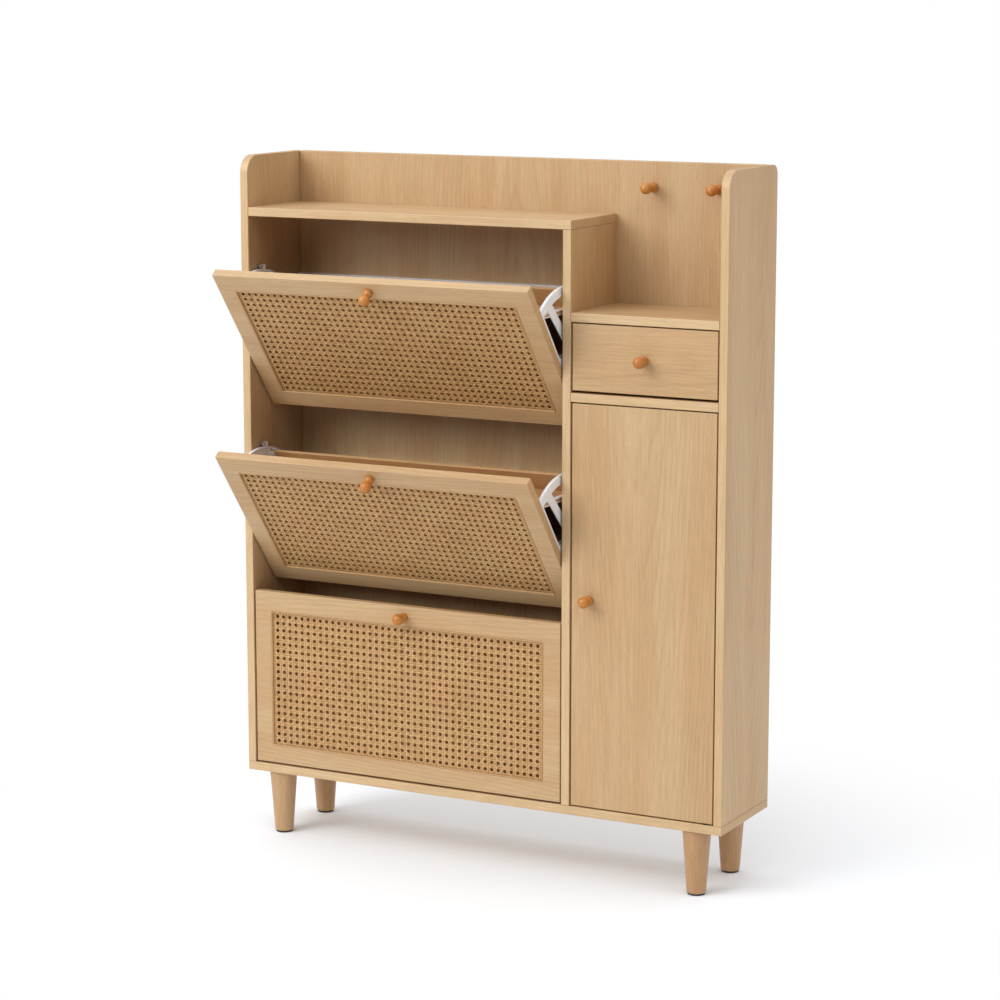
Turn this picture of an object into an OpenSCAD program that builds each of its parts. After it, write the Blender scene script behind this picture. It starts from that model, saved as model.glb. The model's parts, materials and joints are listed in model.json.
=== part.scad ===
// Tip-out shoe cabinet on tapered legs: three woven-cane flaps on the left,
// an open niche, a drawer and a hinged door on the right.
// Millimetres, +Z up, front towards -Y, origin on the floor under the carcass centre.

/* [Carcass] */
// Width over the side panels
cabinet_w = 900; // [880:10:960]
// Depth of the side panels
cabinet_d = 195; // [195:5:220]
// Height from the floor to the top of the side panels
cabinet_h = 1182; // [1170:2:1220]
// Thickness of the carcass boards
board = 15; // [15:1:16]
// Clear width of the column that holds the flaps
flap_column_w = 595; // [575:5:600]
// Height of the side panels above the top shelf
top_rim_h = 87; // [60:1:90]
// Height of the side panels above the niche shelf
niche_h = 235; // [220:5:260]
// Clear height of the drawer opening
drawer_opening_h = 115; // [105:5:130]
// Radius of the side panels' front top corners
front_corner_r = 30; // [10:1:40]
// Radius of the side panels' rear top corners
rear_corner_r = 16; // [10:1:30]
// Distance from the rear edges to the back panel
back_inset = 10; // [6:1:10]

/* [Legs] */
// Height of the carcass above the floor
leg_h = 111; // [100:1:140]
// Leg radius at the top
leg_top_r = 24; // [20:1:25]
// Leg radius at the foot
leg_foot_r = 16; // [14:1:20]
// Distance from a side edge to a leg's centre
leg_inset_x = 55; // [45:1:80]
// Distance from a front or rear edge to a leg's centre
leg_inset_y = 27; // [26:1:40]

/* [Fronts] */
// Thickness of the flaps, the door and the drawer front
front_t = 15; // [15:1:16]
// Setback of the fronts behind the carcass edges
front_setback = 1.5; // [0:0.5:2]
// Gap beside the fronts
front_gap = 2.5; // [2.5:0.5:3]

/* [Flaps] */
// Height of a flap
flap_h = 304; // [300:1:304]
// Gap below a flap
flap_gap = 3; // [3:0.5:4]
// Width of a flap's side stiles
stile_w = 32; // [28:1:45]
// Width of a flap's top rail
top_rail_w = 34.5; // [30:0.5:45]
// Width of a flap's bottom rail
bottom_rail_w = 31; // [28:1:45]
// Corner radius of the cane window
window_r = 3.5; // [3:0.5:20]
// Height of the pivot above a flap's bottom edge
pivot_up = 100; // [96:1:104]
// Distance from a flap's front face back to the pivot
pivot_back = 22; // [22:0.5:23]
// Angle between a closed and an open flap
open_angle = 38; // [30:1:40]
// Outer radius of the side brackets' curved rim
rim_r = 145; // [142:1:145]
// Thickness of the bins' inner boards
bin_board = 5; // [4:0.5:5]

/* [Knobs] */
// Radius of a knob's head
knob_head_r = 9.8; // [8:0.2:12]
// Radius of a knob's rear lobe
knob_base_r = 8.2; // [7:0.2:10]
// Length of a knob
knob_l = 30; // [26:1:34]
// Length of a coat peg
peg_l = 40; // [34:1:50]

/* [Door] */
// Distance from the door's right edge to its pivot pins
door_pin_inset = 13; // [13:0.5:16]

/* [Hidden] */
$fn = 64;
eps = 0.01;

oak = [0.80, 0.67, 0.49];
oak_light = [0.85, 0.73, 0.56];
cane_tan = [0.80, 0.65, 0.43];
cane_edge = [0.74, 0.58, 0.38];
backing_brown = [0.36, 0.24, 0.14];
knob_orange = [0.79, 0.47, 0.20];
plastic_white = [0.92, 0.92, 0.91];
steel_grey = [0.62, 0.63, 0.65];
zinc_grey = [0.72, 0.73, 0.74];
glide_dark = [0.20, 0.18, 0.16];

// Carcass planes
left_x = -cabinet_w / 2;
right_x = cabinet_w / 2;
front_y = -cabinet_d / 2;
rear_y = cabinet_d / 2;
left_in = left_x + board;
right_in = right_x - board;
divide_l = left_in + flap_column_w;
divide_r = divide_l + board;
back_t = 15;
back_y = rear_y - back_inset - back_t;
floor_z = leg_h + board;
top_shelf_top = cabinet_h - top_rim_h;
top_shelf_z = top_shelf_top - board;
niche_shelf_z = cabinet_h - niche_h - board;
divider_z = niche_shelf_z - drawer_opening_h - board;

// Fronts
face_y = front_y + front_setback;
face_back_y = face_y + front_t;
column_r_w = right_in - divide_r;
front_x0 = divide_r + front_gap;
front_x1 = right_in - front_gap;
door_gap = 2;
door_z0 = floor_z + door_gap;
door_z1 = divider_z - door_gap;
drawer_gap_low = 4;
drawer_z0 = divider_z + board + drawer_gap_low;
drawer_z1 = niche_shelf_z - door_gap;

// Flaps: each one is drawn about its own pivot axis and then placed
flap_w = flap_column_w - 2 * front_gap;
flap_cx = (left_in + divide_l) / 2;
flap_pitch = flap_h + flap_gap;
pivot_y = face_y + pivot_back;
flap_front = -pivot_back;
flap_back = flap_front + front_t;
flap_low = -pivot_up;
flap_high = flap_low + flap_h;
window_w = flap_w - 2 * stile_w;
window_z0 = flap_low + bottom_rail_w;
window_z1 = flap_high - top_rail_w;
window_h = window_z1 - window_z0;
window_cz = (window_z0 + window_z1) / 2;
flap_knob_up = 285;

// Cane, its edge bead and the board behind it
bead_w = 2.2;
bead_t = 3;
bead_proud = 0.5;
cane_t = 1.5;
backing_t = 3;
backing_lap = 8;

// Side brackets of the bins
plate_gap = 3.5;
plate_t = 3;
plate_out = flap_column_w / 2 - plate_gap;
plate_in = plate_out - plate_t;
rim_band = 15;
rim_flange = 2.5;
rim_skin = 3;
rim_end_angle = 62;
post_w = 4.5;
post_low = -60;
hub_r = 12;
pin_r = 4;
pin_l = 11;
bush_clear = 0.05;
channel_skin = 2;
channel_depth = 8;
strut_w = 16;
strut_y = 14;
strut_lean = 21;
strut_high = 132;
strut_low = -10;
band_w = 16;
band_top = -1;
rear_post_w = 15;
flange_w = 18;
flange_screw_zs = [-45, 118];
flange_screw_r = 1.8;

// Inner boards of the bins, in the closed flap's frame
bin_rear_y = 103;
bin_rear_low = -56;
bin_rear_high = 90;
shelf_slope = 38;
shelf_play = 0.3;
shelf_start_y = flap_back + rim_skin + bin_board * sin(shelf_slope) + shelf_play;
shelf_l = (bin_rear_y - shelf_play - shelf_start_y) / cos(shelf_slope);
shelf_upper_z = 134;
shelf_lower_z = 38;

// Stops that the brackets' lugs meet when a flap is open
stop_r = 3;
stop_ring = rim_r + 5;
stop_angle = 1.5;
stop_reach = 9.5;
lug_gap_angle = 0.2;
lug_angle = 3.6;
lug_h = 8;
stop_half_angle = asin(stop_r / stop_ring);
lug_start = open_angle + stop_angle + stop_half_angle + lug_gap_angle;
// The open stop stands in front of the lug and the closed stop behind it
stop_angles = [stop_angle, lug_start + lug_angle + lug_gap_angle + stop_half_angle];

// Pivot sockets
socket_r = 15;
socket_flange = 1.8;
spigot_r = 8;
spigot_l = 10;

// Rails on the back panel
rail_t = 6.5;
rail_h = 6;
rail_z = 329.5;
rail_pitch = 319;

// Cam fittings
cam_r = 7.5;
cam_h = 12;
cam_in = 24;
cam_bolt_r = 3;
cam_bolt_grip = 11;
cam_bolt_short = 0.5;
bolt_clear = 0.1;
cam_ys = [-60, 35];
upright_cam_ys = [-60, 60];

// Leg bolts and glides
leg_bolt_r = 4;
leg_bolt_up = 12;
leg_bolt_down = 30;
glide_h = 3;
glide_r = leg_foot_r - 1.5;

// Compartment shelves
inner_shelf_clear = 1.5;
inner_shelf_count = 2;
bay_h = (divider_z - floor_z - inner_shelf_count * board) / (inner_shelf_count + 1);
shelf_pin_r = 2.5;
shelf_pin_out = 7;
shelf_pin_in = 8;
shelf_pin_ys = [-55, 50];

// Drawer box
runner_gap = 12.5;
drawer_side_t = 12;
drawer_side_h = 85;
drawer_bottom_t = 5;
drawer_groove = 5;
drawer_back_y = back_y - 12.5;
drawer_box_z = drawer_z0 + 4;
drawer_side_l = drawer_back_y - face_back_y;
runner_z = drawer_box_z + 20;
runner_h = 35;
runner_skin = 1.5;
runner_reach = 8;
runner_front_y = face_back_y + 3;
runner_l = drawer_back_y - runner_front_y;
slide_clear = 0.5;

// Door pins and bushes
door_pin_x = front_x1 - door_pin_inset;
door_pin_y = face_y + front_t / 2;
door_swing_y = door_pin_y + norm([door_pin_inset, front_t / 2]);
door_pin_r = 3;
door_pin_in = 12;
door_pin_out = 10;
door_bush_r = 6;
door_bush_h = 10;
door_bush_flange_r = 8;
door_bush_flange = 1.2;

// Knobs and pegs: centre of each front and height above the floor
drawer_knob_z = (drawer_z0 + drawer_z1) / 2;
door_knob_x = front_x0 + 32;
door_knob_z = 477;
knob_screw_r = 2;
knob_screw_l = 20;
peg_xs = [242, 358];
peg_z = 1140;
peg_tenon_r = 4;
peg_tenon_l = 10;

// Wall fixing holes through the back panel
wall_hole_r = 3;
wall_hole_z = 780;
wall_hole_xs = [flap_cx, flap_cx + 443];

// Door catch
catch_w = 40;
catch_d = 14;
catch_h = 12;
catch_y = face_back_y + 0.6;

// Each flap as [name, place counted from the lowest, angle it stands open]
FLAPS = [["upper", 2, open_angle], ["middle", 1, open_angle], ["lower", 0, 0]];
FLAP_PIECES = [
    "flap_frame", "flap_cane", "flap_bead", "flap_backing", "flap_knob",
    "bin_bracket_left", "bin_bracket_right", "bin_rear_board", "bin_shelves"
];

// ---------------------------------------------------------------- helpers

// Box between two opposite corners
module box(low, high) {
    translate(low) cube(high - low);
}

// Extrudes a (Y, Z) outline along +X from x
module along_x(x, length) {
    translate([x, 0, 0]) rotate([90, 0, 90]) linear_extrude(length) children();
}

// Extrudes an (X, Z) outline along +Y from y
module along_y(y, length) {
    translate([0, y + length, 0]) rotate([90, 0, 0]) linear_extrude(length) children();
}

// Rod along +X, +Y or -Y
module rod_x(r, x0, x1) {
    translate([x0, 0, 0]) rotate([0, 90, 0]) cylinder(r = r, h = x1 - x0);
}

module rod_y(r, y0, y1) {
    translate([0, y0, 0]) rotate([-90, 0, 0]) cylinder(r = r, h = y1 - y0);
}

// Rectangle with round corners, about the origin
module round_rect(w, h, r) {
    square([w - 2 * r, h], center = true);
    square([w, h - 2 * r], center = true);
    for (sx = [-1, 1], sy = [-1, 1])
        translate([sx * (w / 2 - r), sy * (h / 2 - r)]) circle(r);
}

// ---------------------------------------------------------------- carcass joints

// How far a cam bolt reaches towards its cam; its bore runs on into the cam's pocket
function cam_bolt_in(clear) = clear > 0 ? cam_in : cam_in - cam_r - cam_bolt_short;

// Horizontal cam joint at a shelf end; s is the direction from the shelf to the upright
module shelf_cam_bolt(s, clear = 0) {
    inner = cam_bolt_in(clear);
    outer = cam_bolt_grip + clear;
    for (y = cam_ys) translate([0, y, board / 2])
        rod_x(cam_bolt_r + clear, s > 0 ? -inner : -outer, s > 0 ? outer : inner);
}

module shelf_cam_disc(s, clear = 0) {
    for (y = cam_ys) translate([-s * cam_in, y, -eps * sign(clear)])
        cylinder(r = cam_r + clear, h = cam_h + clear);
}

// Every shelf joint as [x of the joint face, underside of the shelf, direction]
shelf_joints = [
    [left_in, top_shelf_z, -1],
    [divide_r, niche_shelf_z, -1],
    [right_in, niche_shelf_z, 1],
    [divide_r, divider_z, -1],
    [right_in, divider_z, 1]
];

// Every upright joint as [middle of the upright, inner face, direction into the upright]
upright_joints = [
    [left_x + board / 2, left_in, -1],
    [right_x - board / 2, right_in, 1],
    [divide_l + board / 2, divide_r, -1]
];

module shelf_cams(clear = 0) {
    for (j = shelf_joints) translate([j[0], 0, j[1]]) {
        shelf_cam_bolt(j[2], clear);
        shelf_cam_disc(j[2], clear);
    }
}

module upright_cams(clear = 0) {
    for (j = upright_joints, y = upright_cam_ys) {
        translate([j[0], y, floor_z - cam_bolt_grip - clear])
            cylinder(r = cam_bolt_r + clear, h = cam_bolt_grip + clear + cam_bolt_in(clear));
        translate([j[1], y, floor_z + cam_in])
            rod_x(cam_r + clear, j[2] > 0 ? -eps * sign(clear) : -cam_h - clear,
                  j[2] > 0 ? cam_h + clear : eps * sign(clear));
    }
}

module cam_fittings() {
    color(zinc_grey) {
        shelf_cams();
        upright_cams();
    }
}

// ---------------------------------------------------------------- carcass boards

module side_outline() {
    depth = cabinet_d;
    height = cabinet_h - floor_z;
    translate([front_y, floor_z]) {
        square([depth, height - front_corner_r]);
        translate([front_corner_r, 0]) square([depth - front_corner_r, height - rear_corner_r]);
        translate([front_corner_r, 0])
            square([depth - front_corner_r - rear_corner_r, height]);
        translate([front_corner_r, height - front_corner_r]) circle(front_corner_r);
        translate([depth - rear_corner_r, height - rear_corner_r]) circle(rear_corner_r);
    }
}

// Bores in a wall that carries flap pivots and stops; s points out of the wall face
module flap_wall_bores(face_x, s) {
    for (i = [0 : 2]) translate([face_x, pivot_y, pivot_z(i)]) {
        rod_x(spigot_r, s > 0 ? -spigot_l : -eps, s > 0 ? eps : spigot_l);
        for (a = stop_angles) rotate([-a, 0, 0]) translate([0, 0, stop_ring])
            rod_x(stop_r, s > 0 ? -spigot_l : -eps, s > 0 ? eps : spigot_l);
    }
}

module shelf_pins_at(clear = 0) {
    reach = shelf_pin_in + clear;
    for (i = [1 : inner_shelf_count], y = shelf_pin_ys)
        translate([0, y, inner_shelf_z(i) - shelf_pin_r]) {
            translate([divide_r, 0, 0]) rod_x(shelf_pin_r + clear, -reach, shelf_pin_out);
            translate([right_in, 0, 0]) rod_x(shelf_pin_r + clear, -shelf_pin_out, reach);
        }
}

module left_side_panel() {
    color(oak) difference() {
        along_x(left_x, board) side_outline();
        flap_wall_bores(left_in, 1);
        shelf_cams(bolt_clear);
        upright_cams(bolt_clear);
    }
}

module right_side_panel() {
    color(oak) difference() {
        along_x(right_in, board) side_outline();
        shelf_pins_at(bolt_clear);
        shelf_cams(bolt_clear);
        upright_cams(bolt_clear);
    }
}

module bottom_board() {
    color(oak) difference() {
        box([left_x, front_y, leg_h], [right_x, rear_y, floor_z]);
        upright_cams(bolt_clear);
        leg_bolts_at(bolt_clear);
        translate([door_pin_x, door_pin_y, floor_z - door_bush_h])
            cylinder(r = door_bush_r, h = door_bush_h + eps);
    }
}

module partition_panel() {
    color(oak) difference() {
        box([divide_l, front_y, floor_z], [divide_r, back_y, top_shelf_z]);
        flap_wall_bores(divide_l, -1);
        shelf_pins_at(bolt_clear);
        shelf_cams(bolt_clear);
        upright_cams(bolt_clear);
    }
}

module top_shelf() {
    color(oak) difference() {
        box([left_in, front_y, top_shelf_z], [divide_r, back_y, top_shelf_top]);
        shelf_cams(bolt_clear);
    }
}

module niche_shelf() {
    color(oak) difference() {
        box([divide_r, front_y, niche_shelf_z], [right_in, back_y, niche_shelf_z + board]);
        shelf_cams(bolt_clear);
    }
}

module drawer_divider() {
    color(oak) difference() {
        box([divide_r, front_y, divider_z], [right_in, back_y, divider_z + board]);
        shelf_cams(bolt_clear);
        translate([door_pin_x, door_pin_y, divider_z - eps])
            cylinder(r = door_bush_r, h = door_bush_h + eps);
    }
}

module back_panel() {
    color(oak) difference() {
        box([left_in, back_y, floor_z], [right_in, back_y + back_t, cabinet_h]);
        for (x = wall_hole_xs) translate([x, 0, wall_hole_z])
            rod_y(wall_hole_r, back_y - 1, back_y + back_t + 1);
        for (x = peg_xs) translate([x, 0, peg_z])
            rod_y(peg_tenon_r + bolt_clear, back_y - eps, back_y + peg_tenon_l + bolt_clear);
    }
}

function inner_shelf_z(i) = floor_z + i * bay_h + (i - 1) * board;

module inner_shelves() {
    // The hinge edge of the open door swings back in front of the shelves
    y0 = door_swing_y + inner_shelf_clear;
    color(oak) for (i = [1 : inner_shelf_count])
        box([divide_r + 1, y0, inner_shelf_z(i)], [right_in - 1, back_y - 1, inner_shelf_z(i) + board]);
}

module shelf_pins() {
    color(steel_grey) shelf_pins_at();
}

// ---------------------------------------------------------------- legs

module at_legs(sides_y) {
    for (sx = [-1, 1], sy = sides_y)
        translate([sx * (cabinet_w / 2 - leg_inset_x), sy * (cabinet_d / 2 - leg_inset_y), 0])
            children();
}

module leg_bolts_at(clear = 0) {
    at_legs([-1, 1]) translate([0, 0, leg_h - leg_bolt_down - clear])
        cylinder(r = leg_bolt_r + clear, h = leg_bolt_down + leg_bolt_up + 2 * clear);
}

module legs(side_y) {
    color(oak_light) difference() {
        at_legs([side_y]) translate([0, 0, glide_h])
            cylinder(r1 = leg_foot_r, r2 = leg_top_r, h = leg_h - glide_h);
        leg_bolts_at(bolt_clear);
    }
}

module foot_glides() {
    color(glide_dark) at_legs([-1, 1]) cylinder(r = glide_r, h = glide_h);
}

module leg_bolts() {
    color(steel_grey) leg_bolts_at();
}

// ---------------------------------------------------------------- knobs and pegs

// Turned knob of two lobes; its foot is at the origin and it points along -Y
module turned_knob(length) {
    base_c = knob_base_r * 0.55;
    head_c = length - knob_head_r;
    rotate([90, 0, 0]) rotate_extrude() intersection() {
        square([knob_head_r + 1, length]);
        union() {
            translate([0, base_c]) circle(knob_base_r);
            translate([0, head_c]) circle(knob_head_r);
            square([knob_base_r * 0.72, head_c]);
        }
    }
}

module knob(length = knob_l) {
    color(knob_orange) difference() {
        turned_knob(length);
        rod_y(knob_screw_r, -length / 2, eps);
    }
}

module coat_pegs() {
    color(knob_orange) for (x = peg_xs) translate([x, back_y, peg_z]) {
        turned_knob(peg_l);
        rod_y(peg_tenon_r, -eps, peg_tenon_l);
    }
}

// ---------------------------------------------------------------- fixed flap hardware

function pivot_z(i) = floor_z + flap_gap + pivot_up + i * flap_pitch;

module pivot_sockets() {
    color(plastic_white) for (i = [0 : 2], s = [-1, 1])
        translate([flap_cx, pivot_y, pivot_z(i)]) mirror([s > 0 ? 0 : 1, 0, 0]) difference() {
            union() {
                translate([flap_column_w / 2, 0, 0]) rod_x(socket_r, -socket_flange, 0);
                translate([flap_column_w / 2, 0, 0]) rod_x(spigot_r, -socket_flange, spigot_l);
            }
            translate([plate_out, 0, 0]) rod_x(pin_r + bush_clear, -1, pin_l + 0.5);
        }
}

module flap_stops() {
    color(steel_grey) for (i = [0 : 2], s = [-1, 1], a = stop_angles)
        translate([flap_cx, pivot_y, pivot_z(i)]) mirror([s > 0 ? 0 : 1, 0, 0])
            rotate([-a, 0, 0]) translate([flap_column_w / 2, 0, stop_ring])
                rod_x(stop_r, -stop_reach, spigot_l);
}

module back_rails() {
    color(plastic_white) for (i = [0 : 2]) {
        z = rail_z + i * rail_pitch;
        box([left_in, back_y - rail_t, z - rail_h / 2], [divide_l, back_y, z + rail_h / 2]);
    }
}

// ---------------------------------------------------------------- flaps and bins
// Drawn closed, about the pivot axis: Y back, Z up, X from the flap's middle

module window_outline(grow = 0) {
    translate([0, window_cz])
        round_rect(window_w + 2 * grow, window_h + 2 * grow, window_r + grow);
}

module flap_frame() {
    color(oak) difference() {
        box([-flap_w / 2, flap_front, flap_low], [flap_w / 2, flap_back, flap_high]);
        along_y(flap_front - 1, front_t + 2) window_outline();
        along_y(flap_back - backing_t, backing_t + 1) window_outline(backing_lap);
        translate([0, 0, flap_low + flap_knob_up])
            rod_y(knob_screw_r, flap_front - 1, flap_back + 1);
    }
}

module flap_bead() {
    color(cane_edge) along_y(flap_front - bead_proud, bead_t) difference() {
        window_outline();
        window_outline(-bead_w);
    }
}

module flap_cane() {
    color(cane_tan) along_y(flap_front - bead_proud + bead_t, cane_t) window_outline();
}

module flap_backing() {
    color(backing_brown) along_y(flap_back - backing_t, backing_t) window_outline(backing_lap);
}

module flap_knob() {
    translate([0, flap_front, flap_low + flap_knob_up]) knob();
}

// Side view of one slanted inner board; start is its upper front corner
module slanted_board(z, grow = 0) {
    translate([shelf_start_y, z]) rotate(-shelf_slope) translate([0, -bin_board - grow])
        square([shelf_l, bin_board + 2 * grow]);
}

module rear_board_outline(grow = 0) {
    translate([bin_rear_y - grow, bin_rear_low])
        square([bin_board + 2 * grow, bin_rear_high - bin_rear_low]);
}

// Ring sector between the flap's back face and the end angle
module rim_sector(inner, outer) {
    far = 2 * rim_r;
    intersection() {
        difference() {
            circle(outer, $fn = 128);
            circle(inner, $fn = 128);
        }
        polygon([[flap_back, 0], [flap_back, far], [far, far],
                 [far, far / tan(rim_end_angle)], [0, 0]]);
    }
}

module plate_outline() {
    rim_sector(rim_r - rim_band, rim_r);
    intersection() {
        circle(rim_r, $fn = 128);
        translate([flap_back, post_low]) square([post_w, rim_r - post_low]);
    }
    intersection() {
        circle(hub_r);
        translate([flap_back, -hub_r]) square([2 * hub_r, 2 * hub_r]);
    }
    // Strut from the rim down to the lower shelf
    polygon([
        [strut_y, strut_high], [strut_y + strut_w, strut_high],
        [strut_y + strut_w + strut_lean, strut_low], [strut_y + strut_lean, strut_low]
    ]);
    // Band along the lower shelf
    intersection() {
        translate([shelf_start_y, shelf_lower_z]) rotate(-shelf_slope)
            translate([0, band_top - band_w]) square([shelf_l, band_w]);
        translate([flap_back, -rim_r]) square(2 * rim_r);
    }
    // Post beside the rear board
    translate([bin_rear_y - (rear_post_w - bin_board) / 2, bin_rear_low])
        square([rear_post_w, bin_rear_high - bin_rear_low]);
}

// Lug on the rim that meets a stop peg when the flap is open and another when it is shut
module lug_outline() {
    intersection() {
        difference() {
            circle(rim_r + lug_h, $fn = 128);
            circle(rim_r - 1, $fn = 128);
        }
        rotate(-lug_start) polygon([
            [0, 0], [0, 2 * rim_r], [2 * rim_r * tan(lug_angle), 2 * rim_r]
        ]);
    }
}

// Right-hand bracket; the left-hand one is its mirror image
module bin_bracket() {
    color(plastic_white) difference() {
        union() {
            along_x(plate_in, plate_t) plate_outline();
            along_x(plate_in - rim_flange, rim_flange + eps) rim_sector(rim_r - rim_skin, rim_r);
            along_x(plate_in - 2, plate_t + 2) lug_outline();
            along_x(plate_in - flange_w, flange_w + eps) intersection() {
                circle(rim_r - rim_skin / 2, $fn = 128);
                translate([flap_back, post_low]) square([rim_skin, rim_r - post_low]);
            }
            channel_ribs();
            rod_x(pin_r, plate_out - eps, plate_out + pin_l);
        }
        flange_screw_holes();
    }
}

module channel_ribs() {
    along_x(plate_in - channel_depth, channel_depth + eps) difference() {
        intersection() {
            circle(rim_r - rim_skin / 2, $fn = 128);
            union() {
                slanted_board(shelf_upper_z, channel_skin);
                slanted_board(shelf_lower_z, channel_skin);
                rear_board_outline(channel_skin);
            }
        }
        slanted_board(shelf_upper_z);
        slanted_board(shelf_lower_z);
        rear_board_outline();
        translate([flap_back - 20, -rim_r]) square([20 + rim_skin, 2 * rim_r]);
    }
}

// Screw holes through the flange that stands against the flap frame
module flange_screw_holes() {
    for (z = flange_screw_zs) translate([plate_in - flange_w / 2 - 2, 0, z])
        rod_y(flange_screw_r, flap_back - 1, flap_back + rim_skin + 1);
}

module bin_rear_board() {
    color(oak) along_x(-plate_in, 2 * plate_in) rear_board_outline();
}

module bin_shelves() {
    color(oak_light) along_x(-plate_in, 2 * plate_in) {
        slanted_board(shelf_upper_z);
        slanted_board(shelf_lower_z);
    }
}

// Puts a closed flap's piece in flap opening i, turned open by angle
module in_flap(i, angle) {
    translate([flap_cx, pivot_y, pivot_z(i)]) rotate([angle, 0, 0]) children();
}

module left_hand() {
    mirror([1, 0, 0]) children();
}

// ---------------------------------------------------------------- drawer

drawer_l0 = divide_r + runner_gap;
drawer_r0 = right_in - runner_gap;

module drawer_bottom_sheet(clear = 0) {
    box([drawer_l0 + drawer_side_t - drawer_groove - clear, face_back_y - drawer_groove - clear,
         drawer_box_z + 4 - clear],
        [drawer_r0 - drawer_side_t + drawer_groove + clear, drawer_back_y + clear,
         drawer_box_z + 4 + drawer_bottom_t + clear]);
}

module drawer_front() {
    color(oak) difference() {
        box([front_x0, face_y, drawer_z0], [front_x1, face_back_y, drawer_z1]);
        drawer_bottom_sheet(0.1);
        translate([(front_x0 + front_x1) / 2, 0, drawer_knob_z])
            rod_y(knob_screw_r, face_y - 1, face_back_y + 1);
    }
}

module drawer_side(x) {
    color(oak_light) difference() {
        box([x, face_back_y, drawer_box_z],
            [x + drawer_side_t, drawer_back_y, drawer_box_z + drawer_side_h]);
        drawer_bottom_sheet(0.1);
    }
}

module drawer_rear() {
    color(oak_light)
        box([drawer_l0 + drawer_side_t, drawer_back_y - drawer_side_t,
             drawer_box_z + 4.2 + drawer_bottom_t],
            [drawer_r0 - drawer_side_t, drawer_back_y, drawer_box_z + drawer_side_h]);
}

module drawer_bottom() {
    color(oak_light) drawer_bottom_sheet();
}

// Channel rail on a wall; s points from the wall into the opening
module runner_rail(wall_x, s) {
    translate([wall_x, runner_front_y, runner_z]) mirror([s > 0 ? 0 : 1, 0, 0]) {
        cube([runner_skin, runner_l, runner_h]);
        for (z = [0, runner_h - runner_skin]) translate([0, 0, z])
            cube([runner_reach, runner_l, runner_skin]);
    }
}

module runner_slide(wall_x, s) {
    inner_z = runner_skin + slide_clear;
    translate([wall_x, runner_front_y, runner_z]) mirror([s > 0 ? 0 : 1, 0, 0]) {
        translate([runner_skin + slide_clear, 0, inner_z])
            cube([runner_gap - runner_skin - slide_clear - 2, runner_l, runner_h - 2 * inner_z]);
        translate([runner_gap - 2 - eps, 0, inner_z + 4])
            cube([2 + eps, runner_l, runner_h - 2 * inner_z - 8]);
    }
}

module runner_rails() {
    color(steel_grey) {
        runner_rail(divide_r, 1);
        runner_rail(right_in, -1);
    }
}

module runner_slides() {
    color(steel_grey) {
        runner_slide(divide_r, 1);
        runner_slide(right_in, -1);
    }
}

module drawer_knob() {
    translate([(front_x0 + front_x1) / 2, face_y, drawer_knob_z]) knob();
}

// ---------------------------------------------------------------- door

module door_pins_at(clear = 0) {
    for (z = [door_z0 - door_pin_out, door_z1 - door_pin_in])
        translate([door_pin_x, door_pin_y, z]) cylinder(r = door_pin_r + clear, h = door_pin_in + door_pin_out);
}

module door_panel() {
    color(oak) difference() {
        box([front_x0, face_y, door_z0], [front_x1, face_back_y, door_z1]);
        door_pins_at(bush_clear);
        translate([door_knob_x, 0, door_knob_z]) rod_y(knob_screw_r, face_y - 1, face_back_y + 1);
    }
}

module door_pins() {
    color(steel_grey) door_pins_at();
}

module door_bushes() {
    color(glide_dark) difference() {
        union() {
            translate([door_pin_x, door_pin_y, floor_z - door_bush_h])
                cylinder(r = door_bush_r, h = door_bush_h);
            translate([door_pin_x, door_pin_y, floor_z])
                cylinder(r = door_bush_flange_r, h = door_bush_flange);
            translate([door_pin_x, door_pin_y, divider_z])
                cylinder(r = door_bush_r, h = door_bush_h);
            translate([door_pin_x, door_pin_y, divider_z - door_bush_flange])
                cylinder(r = door_bush_flange_r, h = door_bush_flange);
        }
        door_pins_at(bush_clear);
    }
}

module door_knob() {
    translate([door_knob_x, face_y, door_knob_z]) knob();
}

module door_catch() {
    color(plastic_white)
        box([front_x0 + 12, catch_y, divider_z - catch_h],
            [front_x0 + 12 + catch_w, catch_y + catch_d, divider_z]);
}

// ---------------------------------------------------------------- nodes

left_side_panel();
right_side_panel();
bottom_board();
partition_panel();
top_shelf();
niche_shelf();
drawer_divider();
back_panel();
inner_shelves();
shelf_pins();
legs(-1);  // front_legs
legs(1);  // rear_legs
foot_glides();
leg_bolts();
coat_pegs();
cam_fittings();
pivot_sockets();
flap_stops();
back_rails();
door_bushes();
door_catch();
runner_rails();
drawer_front();
drawer_side(drawer_l0);  // drawer_side_left
drawer_side(drawer_r0 - drawer_side_t);  // drawer_side_right
drawer_rear();
drawer_bottom();
drawer_knob();
runner_slides();
door_panel();
door_knob();
door_pins();

for (f = FLAPS) in_flap(f[1], f[2]) {
    flap_frame();
    flap_cane();
    flap_bead();
    flap_backing();
    flap_knob();
    left_hand() bin_bracket();
    bin_bracket();
    bin_rear_board();
    bin_shelves();
}
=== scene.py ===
"""Looks of the shoe cabinet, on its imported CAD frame: oak boards, woven cane, turned knobs and legs.

Everything is in metres, in the CAD's own frame: the front faces -Y, the floor is at Z 0.
"""

import json
import math
import random

import bmesh
import bpy
import numpy as np
from mathutils import Matrix, Vector

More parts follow.
